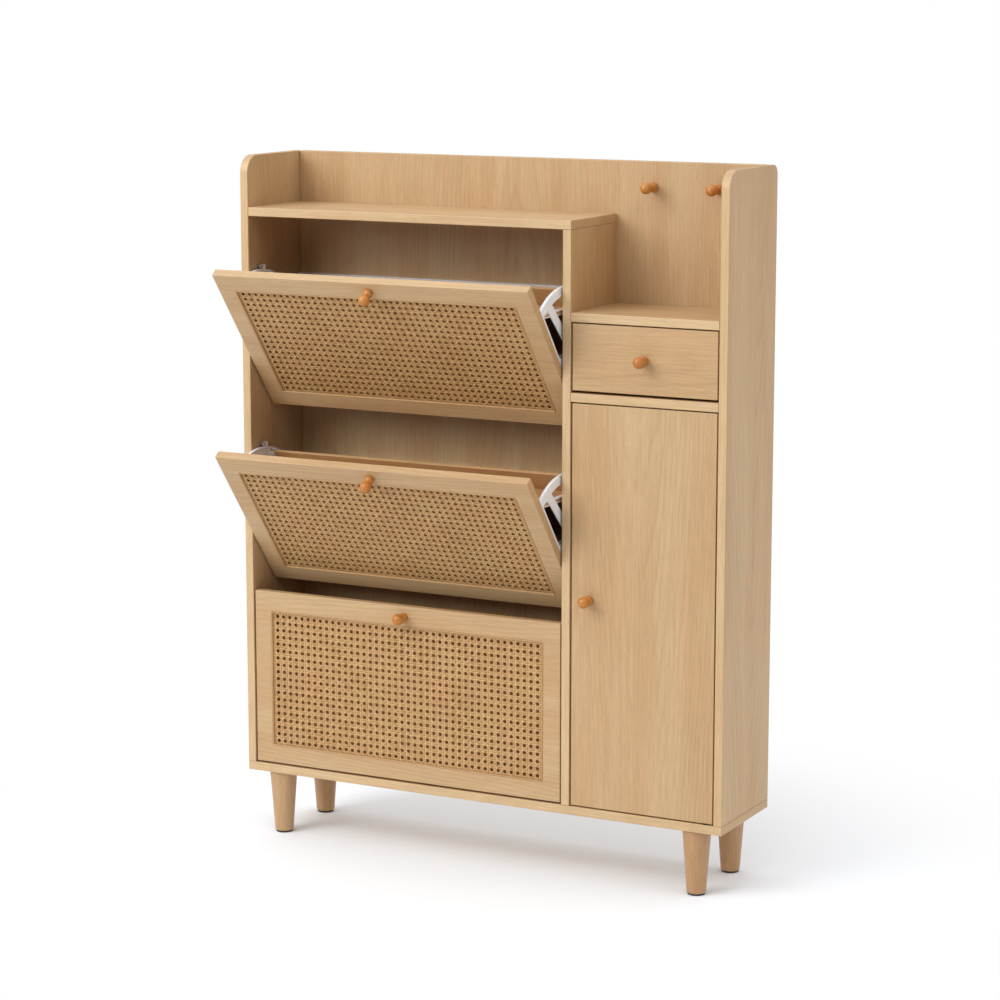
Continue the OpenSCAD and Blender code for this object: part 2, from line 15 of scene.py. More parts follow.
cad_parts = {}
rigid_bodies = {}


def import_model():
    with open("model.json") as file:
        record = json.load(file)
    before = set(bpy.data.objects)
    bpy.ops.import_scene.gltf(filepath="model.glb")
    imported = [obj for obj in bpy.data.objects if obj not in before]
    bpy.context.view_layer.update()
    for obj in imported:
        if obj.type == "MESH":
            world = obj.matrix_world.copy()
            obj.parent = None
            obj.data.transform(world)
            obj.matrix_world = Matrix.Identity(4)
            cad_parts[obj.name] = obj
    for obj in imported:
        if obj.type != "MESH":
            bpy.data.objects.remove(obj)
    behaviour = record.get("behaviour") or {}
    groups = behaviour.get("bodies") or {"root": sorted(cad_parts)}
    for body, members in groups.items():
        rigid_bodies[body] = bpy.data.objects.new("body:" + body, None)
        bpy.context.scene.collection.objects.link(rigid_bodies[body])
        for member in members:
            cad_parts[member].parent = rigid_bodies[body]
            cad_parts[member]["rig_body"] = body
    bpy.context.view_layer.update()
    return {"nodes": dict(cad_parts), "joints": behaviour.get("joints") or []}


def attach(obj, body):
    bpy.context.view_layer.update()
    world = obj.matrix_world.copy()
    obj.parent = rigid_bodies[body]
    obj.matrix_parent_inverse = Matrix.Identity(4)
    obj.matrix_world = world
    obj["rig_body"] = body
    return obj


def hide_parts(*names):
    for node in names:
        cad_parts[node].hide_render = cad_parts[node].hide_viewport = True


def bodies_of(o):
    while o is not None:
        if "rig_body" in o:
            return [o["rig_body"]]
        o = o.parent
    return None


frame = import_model()

CAD = frame["nodes"]
JOINTS = {joint["name"]: joint for joint in frame["joints"]}
FLAPS = ("upper", "middle", "lower")

# ---------------------------------------------------------------- camera, as the photograph's

CAMERA_TARGET = Vector((-0.01587, 0.0225, 0.60665))
CAMERA_AZIMUTH = math.radians(27.5)
CAMERA_ELEVATION = math.radians(10.02)
CAMERA_DISTANCE = 5.0
CAMERA_LENS = 106.27
CAMERA_SENSOR = 36.0


def make_camera():
    """Stands the camera in front and to the right of the cabinet, a little above its middle."""
    flat = math.cos(CAMERA_ELEVATION)
    back = Vector(
        (
            math.sin(CAMERA_AZIMUTH) * flat,
            -math.cos(CAMERA_AZIMUTH) * flat,
            math.sin(CAMERA_ELEVATION),
        )
    )
    data = bpy.data.cameras.new("camera")
    data.lens = CAMERA_LENS
    data.sensor_width = CAMERA_SENSOR
    camera = bpy.data.objects.new("camera", data)
    camera.location = CAMERA_TARGET + back * CAMERA_DISTANCE
    camera.rotation_mode = "QUATERNION"
    camera.rotation_quaternion = (-back).to_track_quat("-Z", "Y")
    bpy.context.scene.collection.objects.link(camera)
    bpy.context.scene.camera = camera


# ---------------------------------------------------------------- frames and boxes

# A flap is drawn as far open as its hinge can still close it
FLAP_PLACES = {
    f"{flap}_flap": Matrix.Translation(JOINTS[f"{flap}_flap_hinge"]["pos_m"])
    @ Matrix.Rotation(-math.radians(JOINTS[f"{flap}_flap_hinge"]["range_deg"][0]), 4, "X")
    for flap in FLAPS
}


def body_of(node):
    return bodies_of(CAD[node])[0]


def body_place(body):
    """The frame that a body's boards are square to: a flap's own, about its pivot, or the cabinet's."""
    return FLAP_PLACES.get(body, Matrix.Identity(4))


def corners(node):
    """Lowest and highest corner of a node in its body's own frame."""
    inverse = body_place(body_of(node)).inverted()
    points = np.array([inverse @ v.co for v in CAD[node].data.vertices])
    return Vector(points.min(0)), Vector(points.max(0))


def middle_place(node):
    """The frame at a node's middle, square to it."""
    low, high = corners(node)
    return body_place(body_of(node)) @ Matrix.Translation((low + high) / 2)


# ---------------------------------------------------------------- shader building


def srgb(red, green, blue):
    """A colour given as 0 to 255 sRGB, as the linear colour that shaders take."""
    shares = [c / 255 for c in (red, green, blue)]
    return [c / 12.92 if c <= 0.04045 else ((c + 0.055) / 1.055) ** 2.4 for c in shares] + [1.0]


# Turns that bring a grain axis onto Z
GRAIN_TO_Z = {
    "X": Matrix.Rotation(math.radians(-90), 4, "Y"),
    "Y": Matrix.Rotation(math.radians(90), 4, "X"),
    "Z": Matrix.Identity(4),
}


class Shader:
    """The nodes of a material or of the world, added and joined by short calls."""

    def __init__(self, owner):
        owner.use_nodes = True
        owner.node_tree.nodes.clear()
        self.owner = owner
        self.tree = owner.node_tree

    def node(self, kind, inputs, **settings):
        made = self.tree.nodes.new(kind)
        for key, value in settings.items():
            setattr(made, key, value)
        for key, value in inputs.items():
            if isinstance(value, bpy.types.NodeSocket):
                self.tree.links.new(value, made.inputs[key])
            else:
                made.inputs[key].default_value = value
        return made

    def point(self, place, axis="Z"):
        """A point in the frame at place, turned so that the grain runs along Z."""
        turned = GRAIN_TO_Z[axis] @ place.inverted()
        where = self.node("ShaderNodeTexCoord", {}).outputs["Object"]
        inputs = {"Vector": where, "Location": turned.translation, "Rotation": turned.to_euler()}
        return self.node("ShaderNodeMapping", inputs).outputs["Vector"]

    def vector(self, operation, a, b):
        made = self.node("ShaderNodeVectorMath", {0: a, 1: b}, operation=operation)
        return made.outputs["Value" if operation in ("DOT_PRODUCT", "LENGTH") else "Vector"]

    def length(self, a):
        return self.node("ShaderNodeVectorMath", {0: a}, operation="LENGTH").outputs["Value"]

    def maths(self, operation, a, b=0.0):
        return self.node("ShaderNodeMath", {0: a, 1: b}, operation=operation).outputs[0]

    def noise(self, point, scale, detail=2.0, roughness=0.5):
        """Soft noise from 0 to 1. Scale is cells per metre along each axis."""
        inputs = {"Vector": self.vector("MULTIPLY", point, scale), "Scale": 1.0}
        inputs.update({"Detail": detail, "Roughness": roughness})
        return self.node("ShaderNodeTexNoise", inputs).outputs["Fac"]

    def remap(self, value, low, high, to_low=0.0, to_high=1.0):
        inputs = {"Value": value, "From Min": low, "From Max": high, "To Min": to_low, "To Max": to_high}
        return self.node("ShaderNodeMapRange", inputs, interpolation_type="SMOOTHSTEP").outputs["Result"]

    def ramp(self, value, stops):
        """Grey levels at given places from 0 to 1."""
        made = self.node("ShaderNodeValToRGB", {"Fac": value})
        elements = made.color_ramp.elements
        while len(elements) < len(stops):
            elements.new(0.5)
        for element, (place, level) in zip(elements, stops):
            element.position = place
            element.color = (level, level, level, 1.0)
        return made.outputs["Color"]

    def mix(self, share, a, b, blend="MIX"):
        made = self.node("ShaderNodeMix", {0: share, 6: a, 7: b}, data_type="RGBA", blend_type=blend)
        return made.outputs[2]

    def bump(self, height, distance):
        inputs = {"Height": height, "Distance": distance, "Strength": 1.0}
        return self.node("ShaderNodeBump", inputs).outputs["Normal"]

    def surface(self, colour, roughness, normal=None, **uniform):
        """Ends the material in one Principled shader and returns it."""
        inputs = {"Base Color": colour, "Roughness": roughness}
        if normal is not None:
            inputs["Normal"] = normal
        inputs.update({key.replace("_", " "): value for key, value in uniform.items()})
        shader = self.node("ShaderNodeBsdfPrincipled", inputs)
        self.node("ShaderNodeOutputMaterial", {"Surface": shader.outputs["BSDF"]})
        return self.owner


# ---------------------------------------------------------------- materials

# How far a material's pattern is moved at random, in metres
PATTERN_SHIFT = 40

# Each wood: the colour of its pale and dark growth, its warm bands and its pores, and its finish
WOODS = {
    "oak": {
        "pale": srgb(196, 164, 122),
        "dark": srgb(170, 135, 92),
        "warm": srgb(191, 154, 110),
        "pore": srgb(142, 108, 70),
        "ring": 0.0062,
        "rough": 0.46,
        "coat": 0.1,
    },
    # A paler copy of the oak for the boards' front edges: their edging, with a painted highlight where the
    # light falls on it
    "oak_lit_edge": {
        "pale": srgb(206, 176, 134),
        "dark": srgb(187, 154, 110),
        "warm": srgb(202, 169, 125),
        "pore": srgb(160, 124, 84),
        "ring": 0.0062,
        "rough": 0.46,
        "coat": 0.1,
    },
    "bin": {
        "pale": srgb(190, 152, 106),
        "dark": srgb(166, 126, 82),
        "warm": srgb(186, 142, 96),
        "pore": srgb(126, 92, 56),
        "ring": 0.007,
        "rough": 0.55,
        "coat": 0.0,
    },
    "bead": {
        "pale": srgb(192, 154, 106),
        "dark": srgb(168, 128, 82),
        "warm": srgb(186, 144, 96),
        "pore": srgb(128, 92, 54),
        "ring": 0.004,
        "rough": 0.5,
        "coat": 0.0,
    },
    "backing": {
        "pale": srgb(178, 122, 66),
        "dark": srgb(150, 96, 46),
        "warm": srgb(170, 112, 56),
        "pore": srgb(104, 64, 30),
        "ring": 0.006,
        "rough": 0.6,
        "coat": 0.0,
    },
    "leg": {
        "pale": srgb(188, 151, 108),
        "dark": srgb(156, 117, 77),
        "warm": srgb(180, 138, 95),
        "pore": srgb(132, 94, 58),
        "ring": 0.0045,
        "rough": 0.4,
        "coat": 0.2,
    },
    "turned": {
        "pale": srgb(194, 126, 46),
        "dark": srgb(150, 86, 24),
        "warm": srgb(186, 112, 36),
        "pore": srgb(104, 58, 18),
        "ring": 0.0028,
        "rough": 0.3,
        "coat": 0.22,
    },
}
PITH_NEAR, PITH_FAR = 0.07, 0.16
TAPER_LEAST, TAPER_MOST = 0.03, 0.06
RING_WANDER = 0.03
GRAIN_DEPTH = 0.00012

# How dark the wood is through the growth of one ring, as (place, level)
RING_GROWTH = ((0.0, 0.1), (0.55, 0.25), (0.9, 1.0), (1.0, 0.1))

# Cells of noise per metre, across the grain both ways and then along it
WANDER_CELLS = (11.0, 11.0, 1.6)
STRENGTH_CELLS = (14.0, 14.0, 1.0)
BAND_CELLS = (16.0, 16.0, 2.2)
STREAK_CELLS = (330.0, 330.0, 8.0)
FIBRE_CELLS = (1300.0, 1300.0, 34.0)
PORE_CELLS = (2000.0, 2000.0, 70.0)


def wood(name, kind, place, axis, seed, pith_angle=None):
    """Wood grain in depth: rings round a pith beside the board, fibres and pores along the grain."""
    look = WOODS[kind]
    draw = random.Random(seed)
    angle = draw.uniform(0, 2 * math.pi) if pith_angle is None else math.radians(pith_angle)
    reach = draw.uniform(PITH_NEAR, PITH_FAR)
    pith = (reach * math.cos(angle), reach * math.sin(angle), 0.0)
    offset = [draw.uniform(-PATTERN_SHIFT, PATTERN_SHIFT) for _ in range(3)]
    taper = draw.choice((-1, 1)) * draw.uniform(TAPER_LEAST, TAPER_MOST)

    s = Shader(bpy.data.materials.new(name))
    point = s.point(place, axis)
    patch = s.vector("ADD", point, offset)
    across = s.vector("MULTIPLY", s.vector("SUBTRACT", point, pith), (1.0, 1.0, 0.0))
    rise = s.vector("DOT_PRODUCT", point, (0.0, 0.0, taper))
    wander = s.maths("MULTIPLY", s.noise(patch, WANDER_CELLS), RING_WANDER)
    radius = s.maths("ADD", s.maths("ADD", s.length(across), rise), wander)
    turn = s.maths("FRACT", s.maths("DIVIDE", radius, look["ring"]))
    late = s.ramp(turn, RING_GROWTH)
    strength = s.remap(s.noise(patch, STRENGTH_CELLS), 0.35, 0.7, 0.08, 0.55)
    streak = s.noise(patch, STREAK_CELLS, 4.0, 0.65)
    fibre = s.noise(patch, FIBRE_CELLS, 3.0, 0.65)
    band = s.remap(s.noise(patch, BAND_CELLS), 0.36, 0.64)
    pore = s.remap(s.noise(patch, PORE_CELLS, 1.0), 0.6, 0.74)
    open_pore = s.maths("MULTIPLY", pore, s.remap(late, 0.0, 0.9, 0.45, 0.06))

    colour = s.mix(band, look["pale"], look["warm"])
    colour = s.mix(s.maths("MULTIPLY", late, strength), colour, look["dark"])
    colour = s.mix(1.0, colour, s.remap(streak, 0.34, 0.66, 0.93, 1.05), "MULTIPLY")
    colour = s.mix(1.0, colour, s.remap(fibre, 0.32, 0.68, 0.92, 1.05), "MULTIPLY")
    colour = s.mix(open_pore, colour, look["pore"])
    rough = s.remap(fibre, 0.3, 0.7, look["rough"] - 0.05, look["rough"] + 0.08)
    height = s.maths("SUBTRACT", s.maths("MULTIPLY", fibre, 0.5), open_pore)
    normal = s.bump(height, GRAIN_DEPTH)
    return s.surface(colour, rough, normal, Coat_Weight=look["coat"], Coat_Roughness=0.3)


PLASTIC_FLOW_CELLS = (28.0, 28.0, 28.0)
PLASTIC_GRIT_CELLS = (2600.0, 2600.0, 2600.0)
PLASTIC_GRIT_DEPTH = 0.00004


def plastic(name, colour, shade, rough):
    """Moulded plastic: a faint flow mottle and a fine spark-eroded texture."""
    s = Shader(bpy.data.materials.new(name))
    point = s.point(Matrix.Identity(4))
    flow = s.remap(s.noise(point, PLASTIC_FLOW_CELLS, 3.0), 0.3, 0.7)
    grit = s.noise(point, PLASTIC_GRIT_CELLS, 1.0)
    tone = s.mix(flow, colour, shade)
    roughness = s.remap(flow, 0.0, 1.0, rough - 0.04, rough + 0.06)
    return s.surface(tone, roughness, s.bump(grit, PLASTIC_GRIT_DEPTH))


STEEL_CLOUD_CELLS = (260.0, 260.0, 260.0)
STEEL_DRAWN_CELLS = (40.0, 2400.0, 2400.0)
STEEL_DRAWN_DEPTH = 0.00002
STEEL_SHADE = 0.82


def steel(name, colour, rough):
    """Zinc-plated steel with drawn lines and cloudy spangle."""
    s = Shader(bpy.data.materials.new(name))
    point = s.point(Matrix.Identity(4))
    cloud = s.noise(point, STEEL_CLOUD_CELLS, 3.0)
    drawn = s.noise(point, STEEL_DRAWN_CELLS, 1.0)
    shade = [c * STEEL_SHADE for c in colour[:3]] + [1.0]
    tone = s.mix(s.remap(cloud, 0.3, 0.7), colour, shade)
    roughness = s.remap(cloud, 0.3, 0.7, rough - 0.06, rough + 0.1)
    return s.surface(tone, roughness, s.bump(drawn, STEEL_DRAWN_DEPTH), Metallic=1.0)


CANE_PALE = srgb(222, 185, 129)
CANE_DEEP = srgb(168, 120, 66)
CANE_PINK = srgb(214, 156, 112)
CANE_GREEN = srgb(190, 172, 114)
CANE_PATCH_CELLS = (22.0, 22.0, 12.0)
CANE_FIBRE_CELLS = (3600.0, 3600.0, 40.0)
CANE_SPOT_CELLS = (240.0, 240.0, 90.0)
CANE_FIBRE_DEPTH = 0.00005


def cane(name, angle, seed):
    """Split cane: each strand has its own tone, fine fibres along it and soft patches over the sheet."""
    s = Shader(bpy.data.materials.new(name))
    along = Matrix.Rotation(math.radians(angle), 4, "Y")
    offset = [random.Random(seed).uniform(-PATTERN_SHIFT, PATTERN_SHIFT) for _ in range(3)]
    point = s.vector("ADD", s.point(along), offset)
    tone = s.node("ShaderNodeAttribute", {}, attribute_name="tone").outputs["Fac"]
    patch = s.noise(point, CANE_PATCH_CELLS)
    fibre = s.noise(point, CANE_FIBRE_CELLS)
    spot = s.remap(s.noise(point, CANE_SPOT_CELLS), 0.62, 0.78)
    colour = s.mix(tone, CANE_PALE, CANE_DEEP)
    colour = s.mix(s.remap(patch, 0.5, 0.72, 0.0, 0.45), colour, CANE_PINK)
    colour = s.mix(s.remap(patch, 0.28, 0.46, 0.35, 0.0), colour, CANE_GREEN)
    colour = s.mix(1.0, colour, s.remap(fibre, 0.3, 0.7, 0.88, 1.06), "MULTIPLY")
    colour = s.mix(s.maths("MULTIPLY", spot, 0.35), colour, CANE_DEEP)
    rough = s.remap(fibre, 0.3, 0.7, 0.34, 0.5)
    return s.surface(colour, rough, s.bump(fibre, CANE_FIBRE_DEPTH))


# ---------------------------------------------------------------- pieces

# How edges are rounded: radius, the shortest run of sharp edges that is rounded, and segments
BOARD_EDGE = (0.0013, 0.06, 3)
DRAWER_EDGE = (0.0008, 0.06, 3)
BIN_EDGE = (0.0006, 0.06, 3)
BRACKET_EDGE = (0.0005, 0.012, 2)
LEG_EDGE = (0.0018, 0.02, 4)
MOULDED_EDGE = (0.0008, 0.01, 3)
RUNNER_EDGE = (0.0004, 0.02, 2)

# Angles between two faces: in one plane, and at a sharp edge before and after it is rounded
FLAT = math.radians(0.5)
SHARP = math.radians(30)
STILL_SHARP = math.radians(40)

# Points that are no further apart are one
WELD = 1e-6


def linked(name, mesh, body, nodes=()):
    """A new piece from a mesh, riding on its body and standing for the CAD nodes given."""
    piece = bpy.data.objects.new(name, mesh)
    bpy.context.scene.collection.objects.link(piece)
    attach(piece, body)
    if nodes:
        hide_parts(*nodes)
    return piece


def long_runs(bm, shortest):
    """The sharp edges in connected runs at least so long, which leaves out the rims of bores."""
    sharp = {e for e in bm.edges if len(e.link_faces) == 2 and e.calc_face_angle(0.0) > SHARP}
    chosen = []
    while sharp:
        run, queue = [], [sharp.pop()]
        while queue:
            edge = queue.pop()
            run.append(edge)
            for vertex in edge.verts:
                for other in vertex.link_edges:
                    if other in sharp:
                        sharp.discard(other)
                        queue.append(other)
        points = np.array([v.co for e in run for v in e.verts])
        if (points.max(0) - points.min(0)).max() >= shortest:
            chosen += run
    return chosen


def rounded(node, edge=BOARD_EDGE):
    """A CAD node's own shape with its long edges rounded over, standing for the node."""
    radius, shortest, segments = edge
    bm = bmesh.new()
    bm.from_mesh(CAD[node].data)
    bmesh.ops.remove_doubles(bm, verts=bm.verts, dist=WELD)
    bmesh.ops.dissolve_limit(bm, angle_limit=FLAT, verts=bm.verts, edges=bm.edges)
    bmesh.ops.bevel(
        bm,
        geom=long_runs(bm, shortest),
        offset=radius,
        offset_type="OFFSET",
        segments=segments,
        profile=0.5,
        affect="EDGES",
        clamp_overlap=False,
    )
    mesh = bpy.data.meshes.new(f"{node}_rounded")
    bm.to_mesh(mesh)
    bm.free()
    for stale in ("custom_normal", "sharp_edge", "sharp_face"):
        if stale in mesh.attributes:
            mesh.attributes.remove(mesh.attributes[stale])
    mesh.shade_smooth()
    mesh.set_sharp_from_angle(angle=STILL_SHARP)
    piece = linked(f"{node}_rounded", mesh, body_of(node), [node])
    weighted = piece.modifiers.new("even_shading", "WEIGHTED_NORMAL")
    weighted.keep_sharp = True
    return piece


def paint(piece, *materials):
    """Gives a piece these materials in order, in place of any it had."""
    piece.data.materials.clear()
    for material in materials:
        piece.data.materials.append(material)


def turn_outwards(mesh):
    """Makes every face of a closed mesh look outwards."""
    bm = bmesh.new()
    bm.from_mesh(mesh)
    bmesh.ops.recalc_face_normals(bm, faces=bm.faces)
    bm.to_mesh(mesh)
    bm.free()


# The least share of a face's normal that points forward, for a front face
FORWARD_SHARE = 0.75


def front_faces(piece, place):
    """The faces that look forward, square to the frame at place."""
    forward = place.to_3x3() @ Vector((0, -1, 0))
    return [f for f in piece.data.polygons if f.normal.dot(forward) > FORWARD_SHARE]


# ---------------------------------------------------------------- boards

# Node: grain axis, and where the pith lies round the grain in degrees (0 is the mapped X)
CARCASS_BOARDS = {
    "left_side_panel": ("Z", 180),
    "right_side_panel": ("Z", 180),
    "bottom_board": ("X", 200),
    "partition_panel": ("Z", 0),
    "top_shelf": ("X", 160),
    "niche_shelf": ("X", 190),
    "drawer_divider": ("X", 170),
    "back_panel": ("Z", 90),
    "inner_shelves": ("X", 150),
}


# Where the pith lies for the boards' edges, the fronts and the flaps, in the same degrees
EDGE_PITH = 90
FRONT_PITH = 95
FLAP_PITH = 100
BEAD_PITH = 90

# The first random seed of each family of pieces
BOARD_SEED = 11
EDGE_SEED = 61
FRONT_SEED = 31
DRAWER_SEED = 41
CANE_SEED = 61
BEAD_SEED = 71
FRAME_SEED = 81
BACKING_SEED = 86
BIN_SEED = 90
TURNED_SEED = 101
LEG_SEED = 121


def make_boards():
    """The carcass. Its forward-facing faces, the boards' front edges with their edging, take a paler copy
    of the oak: a painted highlight where the light falls on them.
    """
    for i, (node, (axis, pith)) in enumerate(CARCASS_BOARDS.items()):
        place = middle_place(node)
        piece = rounded(node)
        face = wood(f"{node}_oak", "oak", place, axis, BOARD_SEED + i, pith)
        edge = wood(f"{node}_lit_edge_oak", "oak_lit_edge", place, axis, EDGE_SEED + i, EDGE_PITH)
        paint(piece, face, edge)
        if node != "back_panel":
            # Forward-facing faces take the paler copy of the oak: a painted highlight
            for polygon in front_faces(piece, place):
                polygon.material_index = 1


def make_fronts():
    """Door and drawer front, cut from the same wood as the flaps."""
    for seed, (node, axis) in enumerate((("door_panel", "Z"), ("drawer_front", "X")), FRONT_SEED):
        paint(rounded(node), wood(f"{node}_oak", "oak", middle_place(node), axis, seed, FRONT_PITH))


def make_drawer_box():
    """The sides, rear and bottom behind the drawer's front."""
    sides = ("drawer_side_left", "drawer_side_right")
    for seed, node in enumerate((*sides, "drawer_rear", "drawer_bottom"), DRAWER_SEED):
        axis = "Y" if node in sides else "X"
        material = wood(f"{node}_wood", "oak", middle_place(node), axis, seed)
        paint(rounded(node, DRAWER_EDGE), material)


# ---------------------------------------------------------------- flaps

# Holes across a window and up it
CANE_COLUMNS = 42
CANE_ROWS = 19.4

# Of one strand: its place beside its pair's middle and its width, as shares of the pitch, and its thickness
STRAND_SIDE = 0.163
STRAND_WIDTH = 0.2
STRAND_THICK = 0.0007

# Heights over the sheet's middle: the straight strands' swing and depth, the diagonals' swing and rise
WEAVE_LIFT = 0.00035
WEAVE_DEPTH = 0.0002
DIAGONAL_LIFT = 0.0004
DIAGONAL_RISE = 0.0004

# How far short of the window's outline the strands end
CANE_TUCK = 0.001

# How deep the tones of the straight strands and of the diagonals go, from 0 (pale) to 1. The diagonals lie
# on top and catch more light, so their deeper tones are painted shade
LOW_TONES = (0.15, 0.85)
HIGH_TONES = (0.4, 1.0)
TONE_SPREAD = (2, 2.4)

# Fineness of the strands: points to a pitch, finer steps that find their ends, and the sharp angle
STEPS_PER_PITCH = 6
TRIMS_PER_PITCH = 40
STRAND_SHARP = math.radians(75)

WINDOW_CORNER = 0.0035
CORNER_STEPS = 8
BEAD_WIDTH = 0.0022
BEAD_SHOULDER = 0.35
BEAD_STEPS = 7
BEAD_SHARP = math.radians(50)

# A split strand's section, flat side in: shares of the half width and the half thickness
STRAND_SECTION = ((-1.0, -0.3), (-0.66, 0.66), (0.0, 1.0), (0.66, 0.66), (1.0, -0.3), (0.0, -1.0))

cane_low, cane_high = corners("lower_flap_cane")
WINDOW_W = cane_high.x - cane_low.x
WINDOW_H = cane_high.z - cane_low.z
WINDOW_Z = (cane_low.z + cane_high.z) / 2
CANE_Y = (cane_low.y + cane_high.y) / 2
PITCH = WINDOW_H / CANE_ROWS
SIDE = STRAND_SIDE * PITCH
SLANT = math.sqrt(0.5)


def inside_window(x, z):
    """True where a point of the weave lies inside the window's round-cornered outline, less the tuck."""
    half_w = WINDOW_W / 2 - CANE_TUCK
    half_h = WINDOW_H / 2 - CANE_TUCK
    over_x = np.maximum(np.abs(x) - (half_w - WINDOW_CORNER), 0)
    over_z = np.maximum(np.abs(z) - (half_h - WINDOW_CORNER), 0)
    return np.hypot(over_x, over_z) <= WINDOW_CORNER


def strand(start, direction, height):
    """Points of one strand from side to side of the window, or None. Height is how proud it stands."""
    reach = np.arange(-WINDOW_W, WINDOW_W, PITCH / TRIMS_PER_PITCH)
    x = start[0] + direction[0] * reach
    z = start[1] + direction[1] * reach
    kept = reach[inside_window(x, z)]
    if len(kept) < 2 or kept[-1] - kept[0] < PITCH / 2:
        return None
    count = max(2, int((kept[-1] - kept[0]) / PITCH * STEPS_PER_PITCH) + 1)
    along = np.linspace(kept[0], kept[-1], count)
    x = start[0] + direction[0] * along
    z = start[1] + direction[1] * along
    return np.column_stack((x, CANE_Y - height(x, z), z + WINDOW_Z))


def wave(distance):
    """The plain weave's rise and fall, 1 where a strand crosses one of a pair."""
    return np.sin(2 * np.pi * distance / PITCH) / math.sin(2 * math.pi * STRAND_SIDE)


def swing(distance):
    """How far one diagonal stands above the other's level."""
    return DIAGONAL_LIFT * np.cos(2 * np.pi * distance / PITCH)


def straight(side, distance):
    """How far one strand of a pair stands above the sheet's middle."""
    return -WEAVE_DEPTH - WEAVE_LIFT * side * wave(distance)


def weave_strands():
    """Strands of the four directions: interlaced pairs up and across, and a diagonal each way."""
    across = range(-CANE_COLUMNS // 2, CANE_COLUMNS // 2 + 1)
    up = range(-CANE_COLUMNS // 4 - 1, CANE_COLUMNS // 4 + 1)
    diagonal = range(-CANE_COLUMNS, CANE_COLUMNS + 1)
    uprights = [
        strand((i * PITCH + s * SIDE, 0), (0, 1), lambda x, z, s=s: straight(s, z))
        for i in across
        for s in (-1, 1)
    ]
    level = [
        strand((0, (j + 0.5) * PITCH + s * SIDE), (1, 0), lambda x, z, s=s: straight(s, x))
        for j in up
        for s in (-1, 1)
    ]
    rising = [
        strand((k * PITCH, 0), (SLANT, SLANT), lambda x, z: DIAGONAL_RISE + swing(x))
        for k in diagonal
    ]
    falling = [
        strand((k * PITCH, 0), (SLANT, -SLANT), lambda x, z: DIAGONAL_RISE - swing(x))
        for k in diagonal
    ]
    groups = {"uprights": uprights, "level": level, "rising": rising, "falling": falling}
    return {name: [points for points in strands if points is not None] for name, strands in groups.items()}


def strand_mesh(name, strands, side, tones_between, seed):
    """One mesh of closed ribbons, each with a tone of its own."""
    draw = random.Random(seed)
    low, high = tones_between
    half_w = STRAND_WIDTH * PITCH / 2
    half_t = STRAND_THICK / 2
    rim = np.array(
        [Vector(side) * (a * half_w) + Vector((0, -b * half_t, 0)) for a, b in STRAND_SECTION]
    )
    sides = len(rim)
    verts, faces, tones = [], [], []
    for points in strands:
        base = len(verts)
        verts += (points[:, None, :] + rim[None, :, :]).reshape(-1, 3).tolist()
        share = low + (high - low) * draw.betavariate(*TONE_SPREAD)
        tones += [share] * (len(points) * sides)
        for i in range(len(points) - 1):
            row = base + i * sides
            for k in range(sides):
                after = (k + 1) % sides
                faces.append((row + k, row + after, row + sides + after, row + sides + k))
        last = base + (len(points) - 1) * sides
        faces.append(tuple(base + k for k in reversed(range(sides))))
        faces.append(tuple(last + k for k in range(sides)))
    mesh = bpy.data.meshes.new(name)
    mesh.from_pydata(verts, [], faces)
    tone = mesh.attributes.new("tone", "FLOAT", "POINT")
    tone.data.foreach_set("value", np.array(tones, np.float32))
    mesh.shade_smooth()
    mesh.set_sharp_from_angle(angle=STRAND_SHARP)
    turn_outwards(mesh)
    return mesh


def make_cane():
    """The woven sheets. The three flaps share each mesh."""
    ways = {
        "uprights": ((1, 0, 0), 0, LOW_TONES),
        "level": ((0, 0, 1), 90, LOW_TONES),
        # The diagonals' deeper tones are painted shade for the light they catch on top of the weave
        "rising": ((SLANT, 0, -SLANT), 45, HIGH_TONES),
        "falling": ((SLANT, 0, SLANT), -45, HIGH_TONES),
    }
    for seed, (way, strands) in enumerate(weave_strands().items(), CANE_SEED):
        side, angle, tones = ways[way]
        mesh = strand_mesh(f"cane_{way}", strands, side, tones, seed)
        mesh.materials.append(cane(f"cane_{way}", angle, seed))
        for flap in FLAPS:
            body = f"{flap}_flap"
            piece = bpy.data.objects.new(f"{flap}_cane_{way}", mesh)
            bpy.context.scene.collection.objects.link(piece)
            piece.matrix_world = FLAP_PLACES[body]
            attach(piece, body)
            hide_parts(f"{body}_cane")


def window_ring(inset):
    """The window's outline, inset, as (x, z) points anticlockwise."""
    corner = WINDOW_CORNER - inset
    half_w = WINDOW_W / 2 - WINDOW_CORNER
    half_h = WINDOW_H / 2 - WINDOW_CORNER
    points = []
    for quarter, (sx, sz) in enumerate(((1, 1), (-1, 1), (-1, -1), (1, -1))):
        for step in range(CORNER_STEPS + 1):
            a = math.radians(90) * (quarter + step / CORNER_STEPS)
            z = sz * half_h + corner * math.sin(a) + WINDOW_Z
            points.append((sx * half_w + corner * math.cos(a), z))
    return points


def bead_profile(front, back):
    """Half-round section with a small flat foot: (inset, y) points from the window's edge inwards."""
    shoulder = (back - front) * BEAD_SHOULDER
    points = [(0.0, back)]
    for i in range(BEAD_STEPS + 1):
        a = math.pi * i / BEAD_STEPS
        inset = BEAD_WIDTH / 2 * (1 - math.cos(a))
        points.append((inset, front + shoulder * (1 - math.sin(a))))
    return points + [(BEAD_WIDTH, back)]


